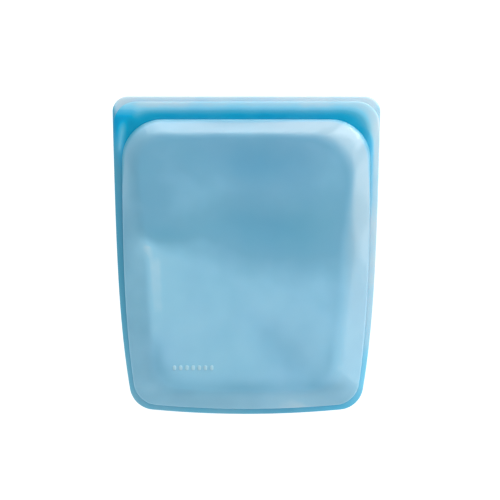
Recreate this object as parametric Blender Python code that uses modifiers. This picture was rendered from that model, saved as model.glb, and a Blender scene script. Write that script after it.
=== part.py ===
"""A reusable silicone food bag, lying on its back with its mouth pressed shut.

+X is across the bag, +Y runs from its closed end to its mouth, and +Z is the way its
front panel faces. The origin is the middle of the bag's box, on the surface that the
bag lies on. Lengths are in metres.

The bag is two moulded trays, front and back, fused along a flat rim on three sides.
Past the trays, towards the mouth, each half has a closure strip and a pull lip. A rib on
the back strip presses into a channel on the front strip.
"""

import math

import bmesh
import bpy
from mathutils import Matrix

MM = 0.001

# The whole bag.
BAG_WIDTH = 212.8 * MM
BAG_HEIGHT = 252.4 * MM
BAG_DEPTH = 36.0 * MM
HALF_WIDTH = BAG_WIDTH / 2
HALF_HEIGHT = BAG_HEIGHT / 2
SEAM_Z = BAG_DEPTH / 2
WALL = 1.5 * MM
GAP = 0.3 * MM  # between pieces that touch on the real bag

# The outline: straight at the mouth, then drawn in towards a bowed bottom edge.
TAPER_START_Y = 112.0 * MM
TAPER_LENGTH = 220.0 * MM
EVEN_TAPER = 6.2 * MM
LOW_TAPER = 8.0 * MM
BOTTOM_BOW = 3.2 * MM
BOTTOM_BOW_HALF = 71.5 * MM
BOTTOM_CORNER = 20.0 * MM

# The trays: where each stands inside the outline, and how far its flat panel is inside that.
SEAM_THICKNESS = 3.0 * MM
SIDE_RIM_LEAST = 4.0 * MM
SIDE_RIM_GROWTH = 2.6 * MM
SIDE_RIM_FLARE = 1.6 * MM
SIDE_RIM_FROM_Y = -110.0 * MM
BOTTOM_RIM = 4.6 * MM
BODY_TOP_Y = 107.6 * MM
BODY_TOP_CORNER = 33.0 * MM
BODY_BOTTOM_CORNER = 19.0 * MM
SHOULDER_SIDE = 21.5 * MM
SHOULDER_TOP = 14.0 * MM
SHOULDER_BOTTOM = 18.2 * MM
PANEL_TOP_CORNER = 24.0 * MM
PANEL_BOTTOM_CORNER = 15.0 * MM
SEAM_UNDER_TRAY = 2.2 * MM

# The mouth: strips, rib, channel and lips.
STRIP_THICKNESS = 0.9 * MM
STRIP_LOW_Y = BODY_TOP_Y + GAP
STRIP_HIGH_Y = 115.2 * MM
STRIP_HALF_LENGTH = 98.3 * MM
STRIP_EAR_ANGLE = math.radians(25)
RIB_Y = 111.6 * MM
RIB_WIDTH = 2.4 * MM
RIB_HEIGHT = 2.1 * MM
CHANNEL_WIDTH = 6.4 * MM
CHANNEL_HEIGHT = 2.7 * MM
GROOVE_WIDTH = 3.2 * MM
GROOVE_DEPTH = 2.1 * MM
LIP_THICKNESS = 2.6 * MM
LIP_ROUNDING = 1.0 * MM
LIP_LOW_Y = STRIP_HIGH_Y + GAP
BACK_LIP_CORNER = 12.0 * MM
FRONT_LIP_SETBACK = 4.6 * MM
FRONT_LIP_INSET = 4.0 * MM
FRONT_LIP_CORNER = HALF_HEIGHT - FRONT_LIP_SETBACK - LIP_LOW_Y

# The plain raised pad low on the front panel.
MARK_CENTRE = (-41.6 * MM, -88.0 * MM)
MARK_LENGTH = 34.0 * MM
MARK_WIDTH = 5.0 * MM
MARK_HEIGHT = 0.6 * MM

# How finely the outline and the shoulders are cut.
EDGE_STEPS = 5
SIDE_STEPS = 12
CORNER_STEPS = 8
LIP_CORNER_STEPS = 5
SHOULDER_STEPS = 8

# Silicone tints, as linear red, green and blue.
BODY_TINT = (0.12, 0.36, 0.53)
SEAM_TINT = (0.09, 0.31, 0.47)
CLOSURE_TINT = (0.01, 0.28, 0.47)
LIP_TINT = (0.34, 0.68, 0.86)
MARK_TINT = (0.45, 0.70, 0.82)
SILICONE_ROUGHNESS = 0.42


def side_x(y):
    """Half the bag's width at a height y."""
    share = max(0.0, TAPER_START_Y - y) / TAPER_LENGTH
    return HALF_WIDTH - EVEN_TAPER * share - LOW_TAPER * share**4


def bottom_y(x):
    """The bottom edge's height at a place x across the bag."""
    return -HALF_HEIGHT + BOTTOM_BOW * (x / BOTTOM_BOW_HALF) ** 2


def rim_width(y):
    """Width of the fused rim beside the trays, which flares towards the mouth."""
    share = max(0.0, y - SIDE_RIM_FROM_Y) / (BODY_TOP_Y - SIDE_RIM_FROM_Y)
    return SIDE_RIM_LEAST + SIDE_RIM_GROWTH * share + SIDE_RIM_FLARE * share**4


def slope(curve, at):
    """Slope of a curve at a place, by a small difference."""
    step = 0.1 * MM
    return (curve(at + step) - curve(at - step)) / (2 * step)


def steps_between(start, end, count):
    """The start and count - 1 places after it, evenly spaced, with the end left off."""
    return [start + (end - start) * i / count for i in range(count)]


def arc(centre, radius, start, end, count):
    """count points along an arc from its start, with its end left off."""
    return [
        (centre[0] + radius * math.cos(angle), centre[1] + radius * math.sin(angle))
        for angle in steps_between(start, end, count)
    ]


def half_outline(inset, bottom_inset, top_y, top_radius, bottom_radius):
    """Right half of a rounded outline, from the middle of its top to that of its bottom.

    inset(y) is how far the outline stands inside the bag's side.
    """

    def side(y):
        return side_x(y) - inset(y)

    def bottom(x):
        return bottom_y(x) + bottom_inset

    # The bottom corner's circle touches both the side and the bottom edge.
    touch_y = bottom(0) + bottom_radius
    touch_x = side(touch_y) - bottom_radius
    for _ in range(20):
        side_angle = -math.atan(slope(side, touch_y))
        bottom_angle = -math.pi / 2 + math.atan(slope(bottom, touch_x))
        centre_x = side(touch_y) - bottom_radius * math.cos(side_angle)
        centre_y = bottom(touch_x) - bottom_radius * math.sin(bottom_angle)
        touch_x = centre_x + bottom_radius * math.cos(bottom_angle)
        touch_y = centre_y + bottom_radius * math.sin(side_angle)

    top_centre_y = top_y - top_radius
    top_centre_x = side(top_centre_y) - top_radius
    points = [(x, top_y) for x in steps_between(0, top_centre_x, EDGE_STEPS)]
    points += arc((top_centre_x, top_centre_y), top_radius, math.pi / 2, 0, CORNER_STEPS)
    points += [(side(y), y) for y in steps_between(top_centre_y, touch_y, SIDE_STEPS)]
    points += arc((centre_x, centre_y), bottom_radius, side_angle, bottom_angle, CORNER_STEPS)
    points += [(x, bottom(x)) for x in steps_between(touch_x, 0, EDGE_STEPS)]
    return points + [(0, bottom(0))]


def mirrored(right):
    """A whole ring from its right half, whose first and last points are on the middle."""
    return right + [(-x, y) for x, y in reversed(right[1:-1])]


def body_outline():
    """The outline that the trays stand on."""
    return half_outline(
        rim_width, BOTTOM_RIM, BODY_TOP_Y, BODY_TOP_CORNER, BODY_BOTTOM_CORNER
    )


def panel_outline():
    """The outline of a tray's flat panel."""
    return half_outline(
        lambda y: rim_width(y) + SHOULDER_SIDE,
        BOTTOM_RIM + SHOULDER_BOTTOM,
        BODY_TOP_Y - SHOULDER_TOP,
        PANEL_TOP_CORNER,
        PANEL_BOTTOM_CORNER,
    )


def silicone(name, tint):
    """A smooth, slightly glossy silicone."""
    material = bpy.data.materials.new(name)
    material.use_nodes = True
    shader = material.node_tree.nodes["Principled BSDF"]
    shader.inputs["Base Color"].default_value = (*tint, 1)
    shader.inputs["Roughness"].default_value = SILICONE_ROUGHNESS
    shader.inputs["Metallic"].default_value = 0.0
    material.diffuse_color = (*tint, 1)
    return material


def tray(collection, name, rim_z, panel_z, material):
    """An open tray: a shoulder lofted from the body's outline to a flat panel.

    The shoulder leaves the rim upright and turns over into the panel, as a quarter ellipse.
    """
    outer = mirrored(body_outline())
    inner = mirrored(panel_outline())
    mesh = bpy.data.meshes.new(name)
    shape = bmesh.new()
    rings = []
    for step in range(SHOULDER_STEPS + 1):
        angle = math.pi / 2 * step / SHOULDER_STEPS
        inward = 1 - math.cos(angle)
        z = rim_z + (panel_z - rim_z) * math.sin(angle)
        rings.append(
            [
                shape.verts.new((a[0] + (b[0] - a[0]) * inward, a[1] + (b[1] - a[1]) * inward, z))
                for a, b in zip(outer, inner)
            ]
        )
    for low, high in zip(rings, rings[1:]):
        for i in range(len(low)):
            after = (i + 1) % len(low)
            shape.faces.new((low[after], low[i], high[i], high[after]))
    shape.faces.new(reversed(rings[-1]))
    if panel_z < rim_z:
        bmesh.ops.reverse_faces(shape, faces=shape.faces)
    shape.to_mesh(mesh)
    shape.free()
    mesh.shade_smooth()
    mesh.set_sharp_from_angle(angle=math.radians(40))
    mesh.materials.append(material)
    wall = bpy.data.objects.new(name, mesh)
    collection.objects.link(wall)
    solidify = wall.modifiers.new("Wall", "SOLIDIFY")
    solidify.thickness = WALL
    solidify.offset = -1
    solidify.use_even_offset = True
    return wall


def extrusion(collection, name, outline, thickness, rounding, material):
    """A flat outline with thickness, centred on its own plane, its edges rounded over."""
    curve = bpy.data.curves.new(name, "CURVE")
    curve.dimensions = "2D"
    curve.fill_mode = "BOTH"
    curve.extrude = thickness / 2 - rounding
    curve.bevel_depth = rounding
    curve.bevel_resolution = 1
    curve.offset = -rounding
    spline = curve.splines.new("POLY")
    spline.points.add(len(outline) - 1)
    for point, (x, y) in zip(spline.points, outline):
        point.co = (x, y, 0, 1)
    spline.use_cyclic_u = True
    curve.materials.append(material)
    piece = bpy.data.objects.new(name, curve)
    collection.objects.link(piece)
    return piece


def plate(collection, name, outline, low_z, high_z, rounding, material):
    """A level plate between two heights."""
    piece = extrusion(collection, name, outline, high_z - low_z, rounding, material)
    piece.location.z = (low_z + high_z) / 2
    return piece


def bar(collection, name, section, half_length, rounding, material):
    """A bar along X, from its section in Y and Z."""
    piece = extrusion(collection, name, section, 2 * half_length, rounding, material)
    along_x = Matrix(((0, 0, 1), (1, 0, 0), (0, 1, 0)))
    piece.rotation_euler = along_x.to_euler()
    return piece


def seam_outline():
    """The fused rim: a U around the trays, open towards the mouth."""
    outer_half = half_outline(lambda y: 0.0, 0.0, HALF_HEIGHT, BACK_LIP_CORNER, BOTTOM_CORNER)
    inner_half = half_outline(
        lambda y: rim_width(y) + SEAM_UNDER_TRAY,
        BOTTOM_RIM + SEAM_UNDER_TRAY,
        HALF_HEIGHT,
        BACK_LIP_CORNER,
        BODY_BOTTOM_CORNER - SEAM_UNDER_TRAY,
    )

    def arm(half):
        top = [(side_end(half), BODY_TOP_Y)]
        return top + [(x, y) for x, y in half if y < BODY_TOP_Y - GAP and x > 0]

    def side_end(half):
        return max(x for x, y in half if y > 0)

    def around(half):
        right = arm(half)
        low = [half[-1]]
        return right + low + [(-x, y) for x, y in reversed(right)]

    return around(outer_half) + list(reversed(around(inner_half)))


def strip_outline():
    """A closure strip with ears that reach down round the trays' top corners."""
    centre_y = BODY_TOP_Y - BODY_TOP_CORNER
    centre_x = side_x(centre_y) - rim_width(centre_y) - BODY_TOP_CORNER
    radius = BODY_TOP_CORNER + GAP
    ear_y = centre_y + radius * math.sin(STRIP_EAR_ANGLE)
    under = arc((centre_x, centre_y), radius, STRIP_EAR_ANGLE, math.pi / 2, CORNER_STEPS)
    right = [(STRIP_HALF_LENGTH, STRIP_HIGH_Y), (STRIP_HALF_LENGTH, ear_y)]
    right += under + [(centre_x, STRIP_LOW_Y)]
    return right + [(-x, y) for x, y in reversed(right)]


def lip_outline(inset, top_y, corner):
    """A lip's outline: straight along its root, with round corners at least as deep as it."""
    centre = (HALF_WIDTH - inset - corner, top_y - corner)
    start = math.asin(max(0.0, (LIP_LOW_Y - centre[1]) / corner))
    right = arc(centre, corner, start, math.pi / 2, LIP_CORNER_STEPS) + [(centre[0], top_y)]
    return right + [(-x, y) for x, y in reversed(right)]


def rectangle(low_x, low_y, high_x, high_y):
    """A rectangle's four corners."""
    return [(low_x, low_y), (high_x, low_y), (high_x, high_y), (low_x, high_y)]


def rib_section():
    """The rib's section: upright sides and a round top."""
    base_z = SEAM_Z - SEAM_THICKNESS / 2
    radius = RIB_WIDTH / 2
    top = arc((RIB_Y, base_z + RIB_HEIGHT - radius), radius, 0, math.pi, CORNER_STEPS)
    return [(RIB_Y - radius, base_z), (RIB_Y + radius, base_z)] + top + [
        (RIB_Y - radius, base_z + RIB_HEIGHT - radius)
    ]


def channel_section():
    """The channel's section: two rails and the web that joins them."""
    top_z = SEAM_Z + SEAM_THICKNESS / 2
    low_z = top_z - CHANNEL_HEIGHT
    groove_z = low_z + GROOVE_DEPTH
    outer = CHANNEL_WIDTH / 2
    inner = GROOVE_WIDTH / 2
    return [
        (RIB_Y - outer, low_z),
        (RIB_Y - inner, low_z),
        (RIB_Y - inner, groove_z),
        (RIB_Y + inner, groove_z),
        (RIB_Y + inner, low_z),
        (RIB_Y + outer, low_z),
        (RIB_Y + outer, top_z),
        (RIB_Y - outer, top_z),
    ]


def pill_outline(centre, length, width):
    """A bar with round ends."""
    radius = width / 2
    reach = length / 2 - radius
    right = arc((centre[0] + reach, centre[1]), radius, -math.pi / 2, math.pi / 2, CORNER_STEPS)
    left = arc((centre[0] - reach, centre[1]), radius, math.pi / 2, 3 * math.pi / 2, CORNER_STEPS)
    return (
        right
        + [(centre[0] + reach, centre[1] + radius)]
        + left
        + [(centre[0] - reach, centre[1] - radius)]
    )


def make_body(collection):
    """The two trays and the rim that joins them."""
    body = silicone("silicone_body", BODY_TINT)
    seam = silicone("silicone_seam", SEAM_TINT)
    half_seam = SEAM_THICKNESS / 2
    tray(collection, "back_wall", SEAM_Z - half_seam - GAP, 0.0, body)
    tray(collection, "front_wall", SEAM_Z + half_seam + GAP, BAG_DEPTH, body)
    low_z, high_z = SEAM_Z - half_seam, SEAM_Z + half_seam
    plate(collection, "side_seam", seam_outline(), low_z, high_z, 0.8 * MM, seam)


def make_closure(collection):
    """The two strips, the rib and the channel, and the fused block at each end."""
    closure = silicone("silicone_closure", CLOSURE_TINT)
    back_top = SEAM_Z - SEAM_THICKNESS / 2 - GAP
    front_low = SEAM_Z + SEAM_THICKNESS / 2 + GAP
    back_low = back_top - STRIP_THICKNESS
    front_top = front_low + STRIP_THICKNESS
    soft = 0.3 * MM
    plate(collection, "back_closure_strip", strip_outline(), back_low, back_top, soft, closure)
    plate(collection, "front_closure_strip", strip_outline(), front_low, front_top, soft, closure)
    bar(collection, "seal_rib", rib_section(), STRIP_HALF_LENGTH, 0.2 * MM, closure)
    bar(collection, "seal_channel", channel_section(), STRIP_HALF_LENGTH - GAP, 0.2 * MM, closure)
    inner_x = STRIP_HALF_LENGTH + GAP
    outer_x = HALF_WIDTH - GAP
    for side, low_x, high_x in (("right", inner_x, outer_x), ("left", -outer_x, -inner_x)):
        outline = rectangle(low_x, STRIP_LOW_Y, high_x, STRIP_HIGH_Y)
        plate(collection, "mouth_end_" + side, outline, back_low, front_top, 0.8 * MM, closure)


def make_lips(collection):
    """The two pull lips. The back one stands taller, and its root is round about its fold."""
    lip = silicone("silicone_lip", LIP_TINT)
    back_top = SEAM_Z - GAP / 2
    front_low = SEAM_Z + GAP / 2
    outline = lip_outline(0.0, HALF_HEIGHT, BACK_LIP_CORNER)
    plate(collection, "back_lip", outline, back_top - LIP_THICKNESS, back_top, LIP_ROUNDING, lip)
    outline = lip_outline(FRONT_LIP_INSET, HALF_HEIGHT - FRONT_LIP_SETBACK, FRONT_LIP_CORNER)
    plate(collection, "front_lip", outline, front_low, front_low + LIP_THICKNESS, LIP_ROUNDING, lip)


def make_mark(collection):
    """The plain pad on the front panel."""
    low_z = BAG_DEPTH + GAP
    outline = pill_outline(MARK_CENTRE, MARK_LENGTH, MARK_WIDTH)
    mark = silicone("silicone_mark", MARK_TINT)
    plate(collection, "raised_mark", outline, low_z, low_z + MARK_HEIGHT, 0.2 * MM, mark)


def main():
    for piece in list(bpy.data.objects):
        bpy.data.objects.remove(piece)
    collection = bpy.data.collections.new("silicone_bag")
    bpy.context.scene.collection.children.link(collection)
    make_body(collection)
    make_closure(collection)
    make_lips(collection)
    make_mark(collection)


main()
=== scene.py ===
"""The looks of a reusable silicone food bag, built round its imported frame.

The bag lies on its back: +X is across it, +Y runs towards its mouth and +Z is up.
Lengths are in metres.
"""

import math

import bpy
import numpy as np
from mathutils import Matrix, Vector


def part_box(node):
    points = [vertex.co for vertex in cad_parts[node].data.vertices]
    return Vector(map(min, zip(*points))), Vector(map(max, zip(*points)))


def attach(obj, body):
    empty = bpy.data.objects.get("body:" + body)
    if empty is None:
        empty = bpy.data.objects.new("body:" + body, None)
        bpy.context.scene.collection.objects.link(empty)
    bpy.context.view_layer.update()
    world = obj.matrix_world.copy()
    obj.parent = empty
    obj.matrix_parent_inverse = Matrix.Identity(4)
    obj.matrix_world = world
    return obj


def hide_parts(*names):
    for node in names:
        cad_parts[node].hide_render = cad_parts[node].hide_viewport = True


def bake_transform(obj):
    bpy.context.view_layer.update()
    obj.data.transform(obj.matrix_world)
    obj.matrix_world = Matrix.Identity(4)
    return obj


MM = 0.001

# The outline's shape. It is the frame's own, apart from the front lip's corners, which are
# rounder, and the tray's top corners, which are tighter.
TAPER_START_Y = 112.0 * MM
TAPER_LENGTH = 220.0 * MM
EVEN_TAPER = 6.2 * MM
LOW_TAPER = 8.0 * MM
BOTTOM_BOW = 3.2 * MM
BOTTOM_BOW_HALF = 71.5 * MM
BOTTOM_CORNER = 20.0 * MM
LIP_CORNER = 12.0 * MM
FRONT_LIP_CORNER = 18.0 * MM
FRONT_LIP_INSET = 0.6 * MM
FRONT_LIP_FROM_Y = 95.0 * MM
FRONT_LIP_FADE = 10.0 * MM  # the length over which the inset grows from there
SIDE_RIM_LEAST = 4.0 * MM
SIDE_RIM_GROWTH = 2.6 * MM
SIDE_RIM_FLARE = 1.6 * MM
SIDE_RIM_FROM_Y = -110.0 * MM
BOTTOM_RIM = 4.6 * MM
BODY_TOP_CORNER = 31.5 * MM
BODY_BOTTOM_CORNER = 19.0 * MM
SLOPE_STEP = 0.1 * MM
CORNER_PASSES = 20  # how often a bottom corner's circle is moved to touch the side and the bottom

# The soft shapes inside it.
WALL = 1.5 * MM
WALL_SINK = 0.2 * MM  # how far the foot of each tray lies within the rim
PANEL_TOP_CORNER = (32.0 * MM, 24.0 * MM)  # on the right, and on the left
PANEL_BOTTOM_CORNER = 24.0 * MM
PANEL_CENTRE_DROP = 4.0 * MM  # how far below the bag's middle the panel's rings close
SHOULDER_TOP = 18.0 * MM
SHOULDER_BOTTOM = 16.7 * MM
LEFT_SHOULDER = (15.5 * MM, 22.0 * MM)  # beside the mouth, and beside the bottom
RIGHT_SHOULDER = (18.5 * MM, 26.2 * MM)
SHOULDER_FROM = 10.0 * MM  # how far below the body's top the side shoulders start to widen
SHOULDER_REACH = 110.0 * MM  # and the length over which they do
# How much wider the top shoulder grows, from how far off the middle, and over what length: on
# the right, and on the left.
TOP_GROWTH = ((3.0 * MM, 10.0 * MM, 65.0 * MM), (1.6 * MM, 15.0 * MM, 30.0 * MM))
TOP_GROWTH_FROM_Y = 20.0 * MM
TOP_GROWTH_REACH_Y = 60.0 * MM

# The shoulder's cross-section. Four values are for the bag's right, left, top and bottom.
STEEP_WIDTH = 0.04  # the share of a shoulder's width in which it stands almost upright
STEEP_HEIGHT = 0.42  # and the share of its height that it climbs there
STEEP_SIDES = (1, 1, 0.85, 1)  # how much of that height each side climbs
FOOT_SIDES = (0.05, 0.05, 0.12, 0.05)  # the share of the width over which it curves up
BEND = 0.45  # the share of the width that bends over into the panel
BEND_HIGHER = 0.5  # the same share at the top and at the left
LEFT_BEND_GROWTH = 0.5  # how much more bends at the left beside the mouth
LEFT_BEND_REACH = 60.0 * MM
RIGHT_BEND_GROWTH = 0.30  # how much more bends at the right, round one height
RIGHT_BEND_Y = 5.0  # that height, and its reach, in millimetres
RIGHT_BEND_REACH = 24.0
SLOPE_ENDS = (-0.002, 1.001)  # just past the width's ends, so that neither is quite level
CLIMB_TILT = (1.14, 0.28)  # the slope's factor at the foot, and how much less it is at the panel
RELIEF_FROM = 0.3  # the share of the width from which the panel's softness begins

# How finely the rings are cut.
EDGE_STEPS = 26
CORNER_STEPS = 18
SIDE_STEPS = 50
SHOULDER_RINGS = 30
PANEL_RINGS = 46
RING_CROWDING = 1.5  # above 1 crowds the shoulder's rings towards its foot
PANEL_INWARD = 5.0  # how many shoulder widths inside its edge the panel's middle counts as
PROFILE_STEPS = 401
BAR_STEPS = 120


class Outline:
    """The bag's rounded outline and the ones inside it, from the frame's boxes."""

    def __init__(self):
        seam_low, seam_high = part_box("side_seam")
        self.half_width = seam_high.x
        self.bottom = seam_low.y
        self.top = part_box("back_lip")[1].y
        self.body_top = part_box("front_wall")[1].y
        self.seam_low, self.seam_high = seam_low.z, seam_high.z
        self.middle = (seam_low.z + seam_high.z) / 2
        self.front_z, self.back_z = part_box("front_wall")[1].z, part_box("back_wall")[0].z

    def side_x(self, y):
        share = np.maximum(0.0, TAPER_START_Y - y) / TAPER_LENGTH
        return self.half_width - EVEN_TAPER * share - LOW_TAPER * share**4

    def bottom_y(self, x):
        return self.bottom + BOTTOM_BOW * (x / BOTTOM_BOW_HALF) ** 2

    def rim_width(self, y):
        share = np.maximum(0.0, y - SIDE_RIM_FROM_Y) / (self.body_top - SIDE_RIM_FROM_Y)
        return SIDE_RIM_LEAST + SIDE_RIM_GROWTH * share + SIDE_RIM_FLARE * share**4

    def half(self, inset, bottom_inset, top_y, top_radius, bottom_radius):
        """Right half of a rounded outline, from the middle of its top to that of its bottom."""

        def side(y):
            return self.side_x(y) - inset(y)

        def bottom(x):
            return self.bottom_y(x) + bottom_inset

        touch_y = bottom(0) + bottom_radius
        touch_x = side(touch_y) - bottom_radius
        for _ in range(CORNER_PASSES):
            side_angle = -math.atan(slope(side, touch_y))
            bottom_angle = -math.pi / 2 + math.atan(slope(bottom, touch_x))
            centre_x = side(touch_y) - bottom_radius * math.cos(side_angle)
            centre_y = bottom(touch_x) - bottom_radius * math.sin(bottom_angle)
            touch_x = centre_x + bottom_radius * math.cos(bottom_angle)
            touch_y = centre_y + bottom_radius * math.sin(side_angle)
        top_centre = (side(top_y - top_radius) - top_radius, top_y - top_radius)
        points = [(x, top_y) for x in steps(0, top_centre[0], EDGE_STEPS)]
        points += arc(top_centre, top_radius, math.pi / 2, 0)
        points += [(side(y), y) for y in steps(top_centre[1], touch_y, SIDE_STEPS)]
        points += arc((centre_x, centre_y), bottom_radius, side_angle, bottom_angle)
        points += [(x, bottom(x)) for x in steps(touch_x, 0, EDGE_STEPS)]
        return points + [(0, bottom(0))]

    def ring(self, right, left=None):
        """A whole ring, clockwise from the middle of the top, as an array of x and y."""
        left = left or right
        return np.array(right + [(-x, y) for x, y in reversed(left[1:-1])])

    def outer(self):
        return self.ring(self.half(lambda y: 0.0, 0.0, self.top, LIP_CORNER, BOTTOM_CORNER))

    def front_edge(self):
        """The outer edge of the front: the side rims, and the front lip's set-back edge."""
        return self.ring(
            self.half(
                lambda y: FRONT_LIP_INSET * smooth((y - FRONT_LIP_FROM_Y) / FRONT_LIP_FADE),
                0.0,
                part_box("front_lip")[1].y,
                FRONT_LIP_CORNER,
                BOTTOM_CORNER,
            )
        )

    def body(self):
        return self.ring(
            self.half(
                self.rim_width, BOTTOM_RIM, self.body_top, BODY_TOP_CORNER, BODY_BOTTOM_CORNER
            )
        )

    def shoulder_inset(self, shoulder, y):
        share = smooth((self.body_top - SHOULDER_FROM - y) / SHOULDER_REACH)
        return self.rim_width(y) + shoulder[0] + (shoulder[1] - shoulder[0]) * share

    def panel(self):
        """Where the shoulders end and the flat panel begins."""

        def half_with(shoulder, top_corner):
            return self.half(
                lambda y: self.shoulder_inset(shoulder, y),
                BOTTOM_RIM + SHOULDER_BOTTOM,
                self.body_top - SHOULDER_TOP,
                top_corner,
                PANEL_BOTTOM_CORNER,
            )

        right = half_with(RIGHT_SHOULDER, PANEL_TOP_CORNER[0])
        left = half_with(LEFT_SHOULDER, PANEL_TOP_CORNER[1])
        ring = self.ring(right, left)
        growth = 0.0
        for side, (most, start, reach) in zip((1, -1), TOP_GROWTH):
            growth = growth + most * smooth((side * ring[:, 0] - start) / reach)
        ring[:, 1] -= growth * smooth((ring[:, 1] - TOP_GROWTH_FROM_Y) / TOP_GROWTH_REACH_Y)
        return ring


def slope(curve, at):
    return (curve(at + SLOPE_STEP) - curve(at - SLOPE_STEP)) / (2 * SLOPE_STEP)


def steps(start, end, count):
    """count evenly spaced places from start, with the end left off."""
    return [start + (end - start) * i / count for i in range(count)]


def arc(centre, radius, start, end):
    return [
        (centre[0] + radius * math.cos(angle), centre[1] + radius * math.sin(angle))
        for angle in steps(start, end, CORNER_STEPS)
    ]


def smooth(t):
    """0 to 1, eased at both ends."""
    t = np.clip(t, 0.0, 1.0)
    return t * t * (3 - 2 * t)


def ramp(value, start, end):
    """0 up to start and 1 from end on, eased at both; end may lie below start."""
    return smooth((value - start) / (end - start))


def mix(a, b, share):
    return a + (b - a) * share


def bell(t):
    """A soft bump of height 1 round 0."""
    return np.exp(-(t**2) / 2)


def mound(x, y, centre, width, angle):
    """A soft mound of height 1, in millimetres, stretched along an angle in degrees."""
    c, s = math.cos(math.radians(angle)), math.sin(math.radians(angle))
    along = ((x - centre[0]) * c + (y - centre[1]) * s) / width[0]
    across = (-(x - centre[0]) * s + (y - centre[1]) * c) / width[1]
    return np.exp(-(along**2 + across**2) / 2)


def mounds(x, y, table):
    """The sum of a table's mounds: how high each is, its middle, its width and its slant."""
    return sum(height * mound(x, y, centre, width, angle) for height, centre, width, angle in table)


# The soft fold across the front panel: places across the bag, and its height and reach there.
FOLD_X = (-84, -60, -24, 2, 28, 60, 75)
FOLD_Y = (11, 6, -1, -8, -13, -11, -18)
FOLD_REACH = (6, 10, 16, 22, 25, 23, 30)
FOLD_SWELL = 0.4  # how far the panel stands out below the fold, in millimetres
FOLD_END_X = 76  # it fades out here, in millimetres from the bag's middle
FOLD_FADE = 20

# Where the front panel stands out (above 0) or sags, in millimetres.
PANEL_RELIEF = (
    (-0.9, (8, 76), (30, 10), 0),
    (-1.1, (12, 22), (34, 12), -8),
    (-0.8, (32, -76), (24, 8), -40),
    (0.6, (-75, -22), (8, 30), 4),
    (0.6, (-48, 50), (16, 20), 0),
    (0.5, (60, -55), (22, 14), -40),
)


def fold_share(x, y):
    """0 above the soft fold that runs across the front panel, 1 below it, in millimetres."""
    fold_y = np.interp(x, FOLD_X, FOLD_Y)
    return smooth((fold_y - y) / (2 * np.interp(x, FOLD_X, FOLD_REACH)) + 0.5)


def sag(x, y):
    """How the soft front panel stands off its moulded shape, in metres."""
    x, y = x / MM, y / MM
    fold = FOLD_SWELL * fold_share(x, y) * smooth((FOLD_END_X - np.abs(x)) / FOLD_FADE)
    return (mounds(x, y, PANEL_RELIEF) + fold) * MM


def no_sag(x, y):
    return 0 * x


def mesh_from(name, points, faces, smooth_angle=None):
    mesh = bpy.data.meshes.new(name)
    mesh.from_pydata([tuple(p) for p in points], [], faces)
    mesh.validate()
    mesh.shade_smooth()
    if smooth_angle:
        mesh.set_sharp_from_angle(angle=math.radians(smooth_angle))
    piece = bpy.data.objects.new(name, mesh)
    bpy.context.scene.collection.objects.link(piece)
    return piece


def ring_faces(count, size, closed_section=False):
    """Quads between successive rings of equal length; a closed section joins last to first."""
    pairs = [(k, k + 1) for k in range(count - 1)]
    if closed_section:
        pairs.append((count - 1, 0))
    return [
        (a * size + (i + 1) % size, a * size + i, b * size + i, b * size + (i + 1) % size)
        for a, b in pairs
        for i in range(size)
    ]


def apply_modifiers(piece):
    graph = bpy.context.evaluated_depsgraph_get()
    mesh = bpy.data.meshes.new_from_object(piece.evaluated_get(graph))
    piece.modifiers.clear()
    piece.data = mesh


def set_tone(piece, tone, sheen_and_shade=0):
    """Stores how pale (0 to 1) each point looks, and how much painted light it takes: painted sheen
    on the body, painted shade on the rim, and below 0 painted shade at the shoulder's foot.
    """
    count = len(piece.data.vertices)
    for name, values in (("tone", tone), ("sheen_and_shade", sheen_and_shade)):
        attribute = piece.data.attributes.new(name, "FLOAT", "POINT")
        values = np.clip(np.broadcast_to(values, count), -1, 1)
        attribute.data.foreach_set("value", values.astype(np.float32))


def points_of(piece):
    return np.array([v.co[:] for v in piece.data.vertices])


def shoulder_heights(inwards, steep, foot, bend):
    """Heights of the shoulder, 0 to 1, at shares of its width in from the body's outline.

    At each place round the bag, steep is the share of its height that it climbs almost upright,
    foot the share of its width over which it curves up, and bend the share that bends over.
    """
    across = np.linspace(0, 1, PROFILE_STEPS)
    slopes = smooth((across - SLOPE_ENDS[0]) / foot[:, None])
    slopes = slopes * smooth((SLOPE_ENDS[1] - across) / bend[:, None])
    slopes = slopes * (CLIMB_TILT[0] - CLIMB_TILT[1] * across)
    climbs = np.cumsum(slopes, axis=1)
    climbs = (climbs - climbs[:, :1]) / (climbs[:, -1:] - climbs[:, :1])
    upright = np.sqrt(1 - (1 - np.clip(inwards / STEEP_WIDTH, 0, 1)) ** 2)
    gentle = np.array([np.interp(inwards, across, row) for row in climbs])
    return steep[:, None] * upright + (1 - steep[:, None]) * gentle


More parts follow.
